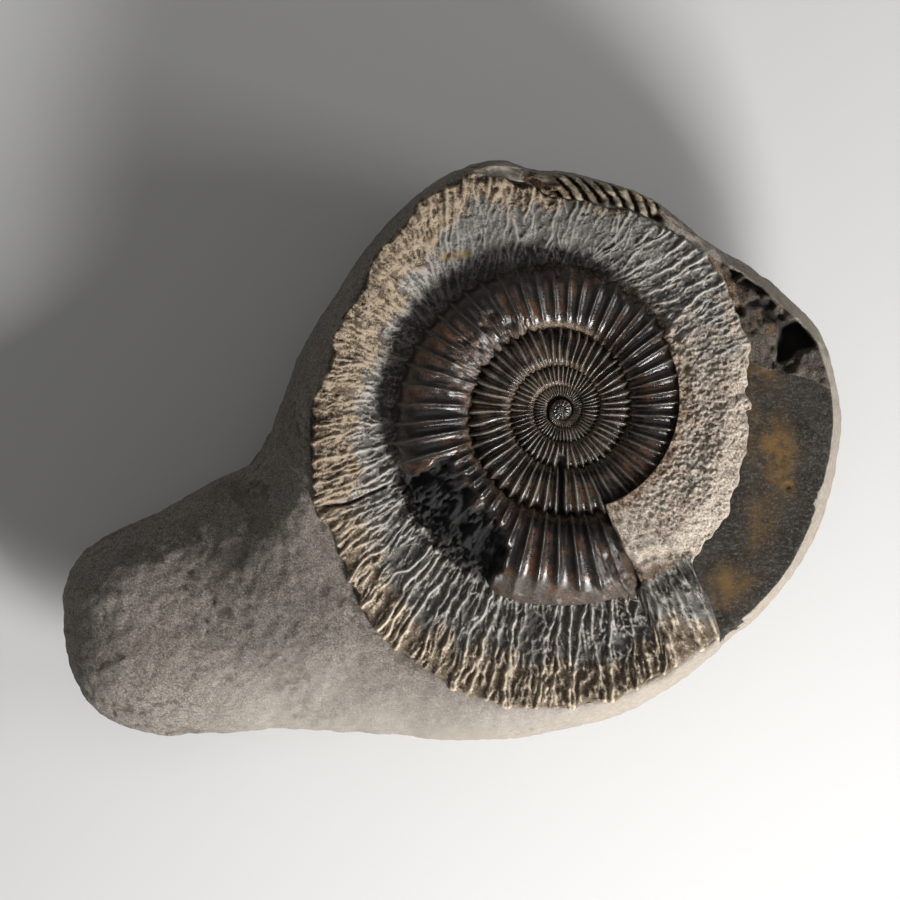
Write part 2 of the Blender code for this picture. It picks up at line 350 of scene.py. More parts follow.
# Chips out of the corner above the dark break: centre, half length, half width, turn and depth
CHIPS = [
    ((80.9, 26.6), 5, 4, 25, 7),
    ((70.8, 38), 3.6, 1.6, -25, 3.6),
    ((72.6, 33.9), 3.2, 1.3, -12, 3),
    ((67, 41.8), 2.2, 1.6, 20, 2.6),
    ((76, 30.6), 4.2, 1.6, -35, 2),
]

CHIPS_ABOVE = 36

# The break's edge runs on beside the ring's end, where the skin is cut down to it
BREAK_ABOVE = 38
WEDGE_ANGLES = (-55.5, -49)
WEDGE_FRESH_ABOVE = 45
CORNER_POINT, CORNER_SLOPE = (70, 19.8), 0.32
# Angles where each thing starts, is full, starts to end and has ended
MARGIN_SPAN = (40, 54, 110, 122)
PRINT_SPAN = (63, 66, 90.5, 93)
# Painted light: the angles of the outline's side that faces the key light, where its edge is coloured pale
PAINTED_EDGE_LIGHT_SPAN = (-135, -75, 12, 42)
PRINT_PITCH = 3.6
PEAK_X, PEAK_HALF_WIDTH = 13.2, 4.8
HOLE, HOLE_SIZE, HOLE_DEPTH = (47.9, 53.6), 1.6, 2.5
DOT, DOT_SIZE, DOT_DEPTH = (78.6, -8.7), 0.9, 1.2

# Ochre stains on the break: middle, half width, half height and strength
STAINS = [
    (76.7, -1.5, 3, 8, 1), (72.5, 19, 4, 3, 0.6), (72, -18, 3, 6, 0.55),
    (64.8, -31, 4.5, 3.6, 0.75), (70, 6, 2, 9, 0.35),
]


def skin_level(angles, radius, rim):
    """The level of the upper skin outside the bowl, before its fine relief."""
    x, y = place(angles, radius)
    broken = on_break(angles)
    far = np.where(broken, break_level(x), LOBE_CREST)
    fall = bell(radius - rim, eased(SHOULDER_REACH, angles))
    top = eased(RIM_LEVEL, angles) - SKIN_BELOW_RIM
    crest = np.where(broken, far, far + (top - far) * fall)
    rim_x, rim_y = place(angles, rim)
    width = np.clip(distance_to(OUTLINE_CURVE, rim_x, rim_y), 2, eased(EDGE_ROUNDING, angles))
    depth = np.minimum(1, distance_to(OUTLINE_CURVE, x, y) / width)
    waist = waist_level(x)
    return waist + (crest - waist) * np.sqrt(1 - (1 - depth) ** 2)


def rough_stone():
    """A coarse closed body of the stone with a shallow dish where the bowl goes."""
    angles = np.arange(SKIN_RAYS) * 360 / SKIN_RAYS
    outer = radius_of(OUTLINE_CURVE, angles)
    rim = radius_of(RIM_CURVE, angles)

    rings = [put(angles, rim * DISH_INNER, DISH_LEVEL), put(angles, rim - DISH_EDGE, DISH_LEVEL)]
    rings.append(put(angles, rim - LEDGE_REACH, skin_level(angles, rim, rim) - LEDGE_DROP))
    for t in np.linspace(0, 1, SKIN_STEPS) ** SHOULDER_POWER:
        radius = rim + (outer - rim) * math.sin(t * math.pi / 2)
        rings.append(put(angles, radius, skin_level(angles, radius, rim)))
    edge_x, edge_y = place(angles, outer)
    turn = np.arctan2(edge_y - FLAT_CENTRE[1], edge_x - FLAT_CENTRE[0])
    flat_x = FLAT_CENTRE[0] + FLAT_RADII[0] * np.cos(turn)
    flat_y = FLAT_CENTRE[1] + FLAT_RADII[1] * np.sin(turn)
    for step in np.linspace(0, math.pi / 2, BELLY_RINGS)[1:]:
        level = waist_level(edge_x) * (1 - math.sin(step) ** BELLY_POWER)
        in_x, in_y = (edge_x - flat_x) * math.cos(step), (edge_y - flat_y) * math.cos(step)
        rings.append(joined(flat_x + in_x, flat_y + in_y, level))
    points = np.concatenate(rings)
    faces = sheet_faces(len(rings), SKIN_RAYS).tolist()
    faces.append(list(range(SKIN_RAYS))[::-1])
    faces.append(list(range(len(points) - SKIN_RAYS, len(points))))
    data = bpy.data.meshes.new("rough_stone")
    data.from_pydata((points * MM).tolist(), [], [f[::-1] for f in faces])
    return new_object("rough_stone", data)


def remeshed(piece, voxel):
    """The piece's even remesh: positions, normals and quads, in millimetres."""
    remesh = piece.modifiers.new("even", "REMESH")
    remesh.mode = "VOXEL"
    remesh.voxel_size = voxel * MM
    smooth = piece.modifiers.new("smooth", "SMOOTH")
    smooth.iterations = 2
    made = piece.evaluated_get(bpy.context.evaluated_depsgraph_get()).data
    count = len(made.vertices)
    points, normals = np.empty(count * 3), np.empty(count * 3)
    made.vertices.foreach_get("co", points)
    made.vertex_normals.foreach_get("vector", normals)
    faces = np.empty(len(made.loops), dtype=np.int64)
    made.loops.foreach_get("vertex_index", faces)
    bpy.data.objects.remove(piece)
    return points.reshape(-1, 3) / MM, normals.reshape(-1, 3), faces.reshape(-1, 4)


def thinned(item, plain, share):
    """Merge faces where the piece is plain until only the given share of all is left."""
    group = item.vertex_groups.new(name="plain")
    group.add(np.flatnonzero(plain).tolist(), 1, "REPLACE")
    thin = item.modifiers.new("thin", "DECIMATE")
    thin.ratio = share
    thin.vertex_group = group.name
    thin.vertex_group_factor = 1000
    graph = bpy.context.evaluated_depsgraph_get()
    made = bpy.data.meshes.new_from_object(item.evaluated_get(graph), preserve_all_data_layers=True,
                                           depsgraph=graph)
    item.modifiers.clear()
    item.vertex_groups.clear()
    item.data = made
    return item


def chip_depth(x, y):
    """How deep the angular chips cut at each place."""
    depth = np.zeros_like(x)
    for (cx, cy), long, wide, turn, deep in CHIPS:
        c, s = math.cos(math.radians(turn)), math.sin(math.radians(turn))
        u, v = ((x - cx) * c + (y - cy) * s) / long, ((y - cy) * c - (x - cx) * s) / wide
        side = np.maximum(np.abs(u) * 0.9 + v * 0.35, np.maximum(np.abs(v), -v * 0.5 + u * 0.8))
        depth = np.maximum(depth, deep * unit((1 - side) / 0.3))
    return depth


def build_skin(material):
    points, normals, faces = remeshed(rough_stone(), SKIN_VOXEL)
    x, y, z = points.T
    angles, radius = polar(x, y)
    turned = signed(angles)
    rim = radius_of(RIM_CURVE, angles)
    past_rim, to_edge = radius - rim, radius_of(OUTLINE_CURVE, angles) - radius
    facing_up = ramp(0.5, 0.8, normals[:, 2])
    rag = noise(points, 3.2, 1, 2)
    flat = points * (1, 1, 0)

    beside_ring = between(turned, (WEDGE_ANGLES[0], 0)) & (radius > rim)
    wedge = between(turned, WEDGE_ANGLES) & (radius > rim + 0.2) & (z > BREAK_ABOVE)
    fresh = (on_break(angles) | beside_ring) * facing_up * (z > BREAK_ABOVE) * (radius > rim - 2)
    fresh = np.maximum(fresh, wedge & (z > WEDGE_FRESH_ABOVE))

    # Weathered grain with pits and flakes, and a smoother break
    lobe = ramp(-15, -45, x)
    relief = 0.6 * noise(points, 26, 2, 2) + 0.2 * noise(points, 7, 3, 2)
    relief += (0.16 + 0.08 * lobe) * noise(points, 2.4, 4, 3) + 0.07 * noise(points, 1.3, 22)
    warped = points + 1.4 * joined(*(noise(points, 3, seed) for seed in (5, 6, 7)))
    pits = ramp(0.38, 0.62, noise(warped, 1.9, 9, 2)) * ramp(-0.2, 0.5, noise(points, 11, 8))
    flakes = ramp(0.4, 0.46, noise(warped, 9, 10)) * lobe
    relief -= (0.2 + 0.15 * lobe) * pits + 0.2 * flakes
    broken = 0.1 * noise(points * (0.5, 1.6, 1), 5, 12, 3) + 0.12 * facets(flat, 9, 13, 0.4)
    relief = relief * (1 - fresh) + broken * fresh
    still = ramp(0, 5, z)
    moved = points + normals * ((relief - SKIN_SHRINK) * still)[:, None]
    level = moved[:, 2]

    # The crumbling margin at the top, its peak, and the second shell's print
    outside = ramp(0.2, 1.2, past_rim) * ramp(36, 50, z)
    margin = outside * window(MARGIN_SPAN, angles)
    peak = outside * bell(x - PEAK_X, PEAK_HALF_WIDTH, 4) * ramp(61.2, 62.6, y + 0.4 * rag)
    shelf = eased(RIM_LEVEL, angles) - 0.3 - 0.2 * past_rim + 0.7 * noise(points, 6, 15, 2)
    lift = margin * np.clip(shelf - level, 0, 14 + 14 * peak)
    lift *= unit((to_edge + 0.4 * rag * (1 - peak) - 0.2) / (1.6 - 1.1 * peak))
    crumbled = outside * ramp(89, 92, angles) * ramp(107, 101, angles + 3 * rag)
    crumbled = crumbled * ramp(5, 3.5, past_rim) * (1 - peak)
    printed = outside * window(PRINT_SPAN, angles)
    phase = angles - 0.5 * past_rim - 0.07 * past_rim ** 2 + 0.6 * noise(points, 7, 17)
    phase = phase / PRINT_PITCH
    rib = ramp(0.22, 0.92, np.abs(np.sin(np.pi * phase)) + 0.1 * rag)
    own = hashed(np.floor(phase).astype(np.int64), 1, 2, 33)
    level += lift + printed * (0.9 - 0.9 * own - (1.6 + 1.4 * own) * (1 - rib))
    level += crumbled * (1.3 * facets(points, 2.2, 16, 1) - 0.8)
    hole = np.exp(-((x - HOLE[0]) ** 2 + (y - HOLE[1]) ** 2) / HOLE_SIZE)
    level -= HOLE_DEPTH * hole * outside

    # The chipped corner above the break, and the round dent in the break
    past_corner = y - CORNER_POINT[1] + CORNER_SLOPE * (x - CORNER_POINT[0])
    corner = fresh * ramp(0, 1.2, past_corner + 0.8 * rag)
    ledges = facets(flat, 6, 31, 0.7) + 0.5 * facets(flat, 2.6, 32, 0.9)
    level += corner * (ledges + 0.5)
    chips = chip_depth(x + 0.5 * rag, y + 0.5 * noise(points, 3, 14)) * facing_up * (z > CHIPS_ABOVE)
    level -= chips
    level[:] = np.where(wedge, np.minimum(level, break_level(x) + broken), level)
    level[:] = np.maximum(capped(level), 0)
    dot = ((x - DOT[0]) ** 2 + (y - DOT[1]) ** 2) / DOT_SIZE
    level -= DOT_DEPTH * np.exp(-dot * 1.6) * fresh

    # What the colours go by
    stain_x, stain_y = x + 1.5 * noise(points, 5, 18, 3), y + 2.5 * noise(points, 6, 19, 3)
    stain = sum(strong * bell(stain_x - cx, wide) * bell(stain_y - cy, tall)
                for cx, cy, wide, tall, strong in STAINS)
    # Painted light: a pale band along the outline on the side the key light comes from, and along the
    # break's outer edge where the light grazes the skin
    notch = 1.2 + 2 * bell(y + 12, 5) + 0.8 * noise(points, 3, 21, 2)
    edge = ramp(notch + 0.3, notch - 0.3, to_edge) * fresh
    painted_edge_light = window(PAINTED_EDGE_LIGHT_SPAN, turned) * ramp(14, 32, z + 5 * noise(points, 9, 20, 3))
    painted_edge_light = painted_edge_light * ramp(5, 2.5, to_edge + rag) * (1 - fresh) + edge
    rusty = corner * ramp(3.4, 0.8, past_rim + 1.2 * rag) * ramp(26, 34, angles)
    values = {
        # painted light along the lit edges, and on the peak beyond the rim
        "painted_edge_light": np.maximum(painted_edge_light, 0.55 * peak),
        "fresh": fresh * (1 - corner) * (1 - edge),
        # painted light: the skin is lightened towards the lower edge, on the side the key light comes from
        "painted_light": ramp(-40, -64, y + 4 * noise(points, 12, 23, 3)) * ramp(-66, -38, x),
        "pits": (pits + 0.5 * flakes) * (1 - fresh),
        "corner": corner,
        # painted shade: the chips' hollows are coloured near-black by their depth
        "deep": chips / 3.5,
        "ochre": stain * fresh * (1 + 0.4 * rag) + 0.9 * np.exp(-(np.sqrt(dot) - 1.2) ** 2 * 8),
        "print": printed * (1 - 0.5 * own) + 0.5 * margin * (angles > 93) * (1 - peak),
        # painted shade in the print's grooves and in the round hole
        "groove": printed * (1 - rib) + hole,
        "crumb": crumbled + margin * ramp(0.05, 0.4, rag) * 0.6 * (1 - peak) + rusty,
    }
    plain = (z < PLAIN_BELOW) | ((radius < rim - 3) & (z > 40))
    return thinned(make_object("nodule_skin", moved, faces, material, values), plain, PLAIN_KEPT)


# The bowl cut round the ammonite

BOWL_COLUMNS = 1200
BOWL_ROWS = 76
FINE_RIDGES = 3400
# The gap between the cuts in millimetres, and how far they turn from the radius
CUT_SPACING = [
    (0, 2), (45, 2.3), (70, 2.5), (100, 2.3), (125, 2), (160, 1.7), (190, 1.6), (210, 2.1), (235, 2.4),
    (270, 2.35), (300, 2.1), (325, 2.1),
]
CUT_LEAN = [
    (0, 0), (30, -4), (60, -26), (80, -16), (100, -20), (118, -30), (138, -10), (160, 0), (200, 4),
    (240, 3), (270, 0), (295, -9), (310, -5),
]
# How wide the brown rind is at the rim, and how knobbly it is
RIND_WIDTH = [
    (0, 0), (50, 0), (88, 0.5), (97, 5), (112, 7.5), (150, 8), (180, 9.5), (225, 9), (262, 11), (285, 8.5),
    (303, 8), (312, 0),
]
CUT_DEPTH = [
    (0, 1.1), (35, 1), (55, 0.85), (75, 0.9), (110, 1.2), (200, 1.35), (235, 1.7), (275, 1.8), (292, 2.1),
    (310, 1.7),
]
RIND_KNOBS = [(0, 0), (85, 0), (108, 1), (160, 1), (208, 0.8), (232, 0.35), (290, 0.3), (320, 0)]
LUMP_START = 292
LUMP_OUTER = [
    (292, 24), (292.8, 32), (293.5, 36.5), (294.5, 39.2), (297, 41.1), (301, 41.6), (306, 42.8),
    (311, 45.5), (313, 60), (650, 60),
]
LUMP_FRONT, LUMP_END = 20, 150
LUMP_LEVEL, LUMP_FRONT_LEVEL = 58.8, 60
BAND_OUTER = 44.2
BAND_ANGLES = (252, 312)
BAND_FLOOR = 48.5
STRIP_START, STRIP_LEVEL = 294.5, 53
CORNER_ANGLES, CORNER_RIM = (300, 312), 66.5
CRACK = [(-31.5, -13.4), (-23.5, -12.4), (-15, -8.6)]
BROKEN_SPAN = (201, 206, 241, 250)
DEEP_CUTS_SPAN = (276, 290, 308, 314)
STEP_SPAN = (199, 201.5, 204, 225)
# Painted shade: the angles over the top of the ring where the stone is coloured darker, as if less light
# reached it
PAINTED_TOP_SHADE_SPAN = (52, 76, 118, 158)
# Painted light: the angles on the side facing the key light, where the rind is coloured lighter
PAINTED_FRONT_LIGHT_SPAN = (196, 226, 304, 314)
# The sheet runs this far under the shell, and closes below the rim by these drops and reaches
UNDER_SHELL, UNDER_BROKEN = 1.6, 6
LIP_STEPS = [(0.5, 0.35), (1.8, 0.6), (4.5, 0.7)]
BOWL_UNDERSIDE = 44.5
# The chisel's cuts are measured at this distance from the centre
CUT_REACH = 50


def wall_profile(angles, t):
    """The smooth level of the bowl's wall at a share of the way from its foot to its rim."""
    levels = np.stack([eased(k, angles) for k in WALL_LEVELS])
    k = np.clip(np.searchsorted(WALL_STEPS, t, side="right") - 1, 0, 2)
    steps = np.array(WALL_STEPS)
    u = (t - steps[k]) / (steps[k + 1] - steps[k])
    column = np.broadcast_to(np.arange(levels.shape[1]), t.shape)
    around = [levels[np.clip(k + step, 0, 3), column] for step in (-1, 0, 1, 2)]
    return catmull_rom(*around, u)


def stamp_ridge(height, reach, at, tall, wide):
    """Raise one wandering ridge: at and tall are its angle and its height on each row."""
    rows, columns = height.shape
    step = 360 / columns
    middle = at / step - 0.5
    near = np.round(middle).astype(int)[:, None] + np.arange(-9, 10)
    aside = np.abs(near - middle[:, None]) * math.radians(step) * reach[:, None]
    crest = unit(1 - aside / wide) ** 1.2
    skirt = unit(1 - aside / (2.6 * wide)) ** 2
    stamped = tall[:, None] * (0.7 * crest + 0.3 * skirt)
    row = np.arange(rows)[:, None]
    height[row, near % columns] = np.maximum(height[row, near % columns], stamped)


def chisel_ridges(inner, rim):
    """The thin ridges left between the chisel's cuts, from 0 to about 1.2, over the bowl's grid."""
    pick = np.random.default_rng(11)
    height = np.zeros((BOWL_ROWS, BOWL_COLUMNS))
    t = np.linspace(0, 1, BOWL_ROWS)

    def cut_at(start, spread):
        """A cut's distances from the centre, how far it leans there, and where its own noise is taken."""
        column = int(start / 360 * BOWL_COLUMNS) % BOWL_COLUMNS
        reach = inner[column] + (rim[column] - inner[column]) * t
        lean = math.tan(math.radians(eased(CUT_LEAN, start) + pick.normal(0, spread)))
        return reach, lean * (reach - CUT_REACH), joined(t * 0 + start * 3.1, reach, 0)

    start = 0
    while start < 360:
        start += math.degrees(eased(CUT_SPACING, start) / 52) * pick.uniform(0.7, 1.3)
        reach, lean, own = cut_at(start, 5)
        line = joined(math.radians(start) * 52, reach, 0)
        wander = 0.9 * noise(line, 8, 41) + 0.55 * noise(own, 3.2, 42) + 0.25 * noise(own, 1.3, 43)
        at = start + np.degrees((lean + wander) / reach)
        kind = pick.random()
        low, high = (-0.2, 1.3) if kind < 0.62 else (pick.uniform(0.25, 0.6), 1.3)
        if kind > 0.82:
            low, high = -0.2, pick.uniform(0.4, 0.75)
        strength = pick.uniform(0.55, 1.1)
        tall = strength * ramp(low, low + 0.14, t) * ramp(high, high - 0.2, t)
        tall = tall * (1 + 0.5 * noise(own, 2.2, 44))
        wide = pick.uniform(0.45, 0.72)
        stamp_ridge(height, reach, at, np.clip(tall, 0, 1.3), wide)
        if pick.random() < 0.55:
            fork, length = pick.uniform(0.1, 0.7), pick.uniform(0.2, 0.45)
            side = pick.choice([-1, 1]) * pick.uniform(0.18, 0.45)
            branch = at + np.degrees(side * np.maximum(0, t - fork) * 22 / reach)
            tall = tall * (t > fork) * ramp(fork + length, fork + length * 0.5, t)
            stamp_ridge(height, reach, branch, np.clip(0.85 * tall, 0, 1.2), wide * 0.9)
    for _ in range(FINE_RIDGES):
        start, low = pick.uniform(0, 360), pick.uniform(-0.1, 0.9)
        reach, lean, own = cut_at(start, 17)
        at = start + np.degrees((lean + 0.6 * noise(own, 3, 47)) / reach)
        length = pick.uniform(0.06, 0.26)
        tall = pick.uniform(0.2, 0.75) * ramp(low, low + 0.05, t)
        tall = tall * ramp(low + length, low + length * 0.6, t)
        stamp_ridge(height, reach, at, tall, pick.uniform(0.34, 0.5))
    return height


def build_bowl(material):
    angles = (np.arange(BOWL_COLUMNS) + 0.5) * 360 / BOWL_COLUMNS
    after_lump = (angles - LUMP_START) % 360
    seam = coil_radius(after_lump + LUMP_START - 360)
    inner = seam - UNDER_SHELL
    inner = inner + (coil_radius(LUMP_START) - UNDER_SHELL - inner) * ramp(2.2, 0, after_lump)
    inner = inner - UNDER_BROKEN * window(BROKEN_SPAN, angles)
    around_rim = joined(angles * 0.9, 0, 0)
    outer = radius_of(OUTLINE_CURVE, angles)
    smooth_rim = radius_of(RIM_CURVE, angles)
    ridges = chisel_ridges(inner, smooth_rim)
    jag = 0.6 * noise(around_rim, 2, 51) + 0.9 * noise(around_rim, 7, 52)
    jag += 1.2 * noise(around_rim, 4, 53) * eased(RIND_KNOBS, angles)
    teeth = sum(np.roll(ridges[-4], k) for k in range(-3, 4)) / 7
    jag += 1.3 * (teeth - 0.35) * eased(RIND_WIDTH, angles) / 10
    rim = np.minimum(smooth_rim + jag, outer - 1.2)
    t = np.linspace(0, 1, BOWL_ROWS)[:, None]
    around = np.broadcast_to(angles, (BOWL_ROWS, BOWL_COLUMNS))
    radius = inner + (rim - inner) * t
    x, y = place(around, radius)

    in_band = between(angles, BAND_ANGLES)
    foot = np.where(in_band, BAND_OUTER, np.where(after_lump < LUMP_FRONT, coil_radius(angles), seam))
    whole_rim = np.where(between(angles, CORNER_ANGLES), np.maximum(rim, CORNER_RIM), rim)
    share = unit((radius - foot) / (whole_rim - foot))
    level = wall_profile(angles, share)
    level += 3 * ramp(286, 300, around) * bell(share - 0.68, 0.2) * (around < 315)
    p = joined(x, y, level)
    flat = p * (1, 1, 0)
    rag = noise(p, 3, 61, 2)

    # The lump of matrix left on the last whorl's end, and the strip beside the worn band
    since = (around - LUMP_START) % 360
    inside = np.interp(since + LUMP_START, *zip(*LUMP_OUTER)) - radius + 0.9 * rag
    swell = ramp(-0.4, 0.4, inside)
    on_lump = ramp(116, 74, since + 12 * rag + 9 * noise(p, 2, 58)) * (since < LUMP_END)
    on_lump = np.where(since < LUMP_FRONT, swell, on_lump)
    lump_share = unit((radius - seam) / (rim - seam))
    lump_level = wall_profile(angles, lump_share)
    lump_level += (LUMP_LEVEL - lump_level) * ramp(0.75, 0.2, lump_share) * ramp(118, 104, since)
    lump_level += (LUMP_FRONT_LEVEL - lump_level) * ramp(40, 12, since) * ramp(1, 0.6, lump_share)
    lump_edge = 48 + (lump_level - 48) * (0.34 * swell + 0.66 * ramp(0, 4.5, inside))
    lump_edge = 46 + (lump_edge - 46) * ramp(0, 2.4, since + 0.4 * rag)
    under_band = in_band & (radius < foot + 0.12 * rag)
    strip = under_band & (angles > STRIP_START)
    edge = 0.35 * np.exp(-np.abs(radius - foot) / 0.7) * in_band
    strip_level = np.minimum(level + 0.2, STRIP_LEVEL + 2.4 * ramp(294, 298, around)) + 0.3 * rag
    hidden = np.where(strip, strip_level, np.where(under_band, BAND_FLOOR, level + edge))
    level = np.where(since < LUMP_FRONT, np.maximum(hidden, lump_edge),
                     level + (lump_level - level) * unit(on_lump))

    # Ridges between the cuts, the knobbly rind at the rim, and the lump's rubble
    relief = ridges * (0.9 + 0.35 * noise(p, 1.6, 62, 2)) * (1 + 0.35 * window(DEEP_CUTS_SPAN, around))
    fade = (0.35 + 0.65 * ramp(0, 0.12, share)) * (1 - 0.82 * on_lump)
    fingers = 2.6 * noise(p, 5, 63, 2) + 1.6 * noise(p * (1.6, 0.6, 1), 1.6, 60, 2) - 1.4 * (ridges - 0.4)
    rind_width = eased(RIND_WIDTH, around)
    rind = ramp(2.4, -2.2, whole_rim - radius - rind_width + fingers) * (rind_width > 0.3)
    near, number, _ = cells(p * (1, 1, 0.5), 2.5, 64)
    knobs = (0.75 - near) * (0.5 + number) * rind * eased(RIND_KNOBS, around)
    coarse = 0.24 * noise(p, 3.6, 66) + 0.26 * noise(p * (0.7, 1.3, 1), 1.6, 67) + 0.3 * noise(p, 0.62, 57)
    coarse += 0.5 * np.abs(noise(p, 0.95, 68))
    level = level + eased(CUT_DEPTH, around) * fade * (relief - 0.35)
    level += 0.16 * (1 - on_lump) * facets(flat, 3.4, 65, 0.5) + 0.85 * on_lump * coarse
    level += 0.24 * noise(p, 1.3, 69, 2) + 0.16 * noise(p, 0.7, 59) + 1.1 * knobs

    # The shattered stretch beside the broken whorl, the crack and the step above it
    past_shell = radius - foot
    broken = window(BROKEN_SPAN, around)
    shards = facets(flat, 3, 70, 1) + 0.5 * facets(flat, 1.4, 71, 1)
    level += broken * ramp(5.5, 2, past_shell + 1.3 * rag) * (0.85 * shards - 0.5)
    level += 3.2 * broken * bell(past_shell + 1, 2.6)
    crack = np.minimum(*(distance_to_line(x, y, *ends) for ends in zip(CRACK, CRACK[1:])))
    crack = bell(crack, 0.35 + 0.012 * (x + 32))
    level -= 1.4 * crack + 0.7 * window(STEP_SPAN, around)

    level = capped(level)
    last = level[-1]
    rows = [joined(x, y, level)]
    for down, out in LIP_STEPS:
        rows.append(put(angles, np.minimum(rim + out, outer - 0.8), last - down)[None])
    for reach, low in ((rim - 3, last - 8), (inner + 1, BOWL_UNDERSIDE)):
        rows.append(put(angles, reach, low)[None])
    points = np.concatenate(rows)
    count = len(points)
    bottom = (count - 1) * BOWL_COLUMNS + np.arange(BOWL_COLUMNS)
    top = np.arange(BOWL_COLUMNS)
    closing = joined(bottom, top, np.roll(top, -1), np.roll(bottom, -1))
    faces = np.concatenate([sheet_faces(count, BOWL_COLUMNS), closing])

    def full(value):
        """The value at every point: below the rim as at the rim."""
        return np.concatenate([value, np.broadcast_to(value[-1], (count - BOWL_ROWS, BOWL_COLUMNS))])

    stained = np.exp(-((x - 1.2) / 3.6) ** 4 - ((y - 44.6 - 0.08 * x + 0.4 * rag) / 0.9) ** 2)
    stained += 0.8 * bell(x + 4.6 + 0.5 * rag, 0.9) * bell(y - 48.2, 2)
    beside = np.exp(-np.clip(radius - seam, 0, 99) / 1.3) * ((around < 62) | (around > 286))
    beside += ramp(3, 0.6, since + 1.5 * rag) * on_lump + 1.2 * strip * (1 - on_lump)
    values = {
        "crest": relief * (1 - 0.6 * on_lump) + knobs * 0.8,
        "rind": rind * (1 - on_lump),
        "lump": on_lump,
        "pits": unit(-coarse * 2) * on_lump,
        "rust": beside * (0.8 + 0.6 * rag),
        "ochre": stained,
        # painted shade over the top of the ring
        "painted_top_shade": window(PAINTED_TOP_SHADE_SPAN, around),
        # painted light on the rind at the front
        "painted_front_light": window(PAINTED_FRONT_LIGHT_SPAN, around),
        "black": broken * ramp(2.6, 0.8, past_shell + 0.8 * rag) + crack,
    }
    values = {name: full(value) for name, value in values.items()}
    return make_object("bowl_wall", points.reshape(-1, 3), faces, material, values)


# The ammonite

COIL_TURNS = 4.7
COIL_END = 310
COIL_CENTRE_RISE = 0.06
SECTION_POINTS = 40
VISIBLE_SHARE = 0.87
# Angles round the tube, from its inner side over its top: what shows, and what is buried
UPPER_SECTION, LOWER_SECTION = (-18, 205), (225, 320)
TOP_SIDE = (20, 206)
MIDDLE_SHARE = 0.7778
STATIONS_PER_RIB = [14, 11, 9, 8, 6]
WHORL_HALF_WIDTH = 0.2355
WHORL_HALF_HEIGHT = 0.222
SECTION_POWER = 2.7
RIB_HEIGHT = 0.039
# Angles where each thing starts, is full, starts to end and has ended
SMOOTH_TOP_SPAN = (55, 75, 105, 125)
UPPER_LEFT_SPAN = (104, 118, 150, 186)
TOP_CRUST_SPAN = (35, 55, 95, 125)
SEAM_SPAN = (120, 150, 236, 262)
# How much lower the last whorl's outer side has become at each angle, and over what share of its width
WHORL_LOSS = [(190, 0), (206, 2), (230, 2.2), (248, 1.4), (275, 2), (297, 2.4)]
LOSS_FROM, LOSS_FULL = 0.2, 0.82
STUMP_LEVEL = 55.2
GAP = [(25.8, -1.6), (25.2, -14.6)]
CORE_RADIUS, CORE_RISE, CORE_COLUMNS, CORE_ROWS = 2.3, 0.25, 78, 12
BAND_LEVEL = 51.9
BAND_REACH = 45.3


def coil_stations():
    """Angles along the coil from its start to its end, closer together on its outer turns."""
    angles = []
    end = COIL_END
    first = COIL_END - COIL_TURNS * 360
    for per_rib in STATIONS_PER_RIB:
        start = max(end - 360, first)
        count = round((end - start) / 360 * RIBS_PER_TURN * per_rib)
        angles.append(np.linspace(end, start, count, endpoint=False))
        end = start
    return np.concatenate(angles)[::-1]


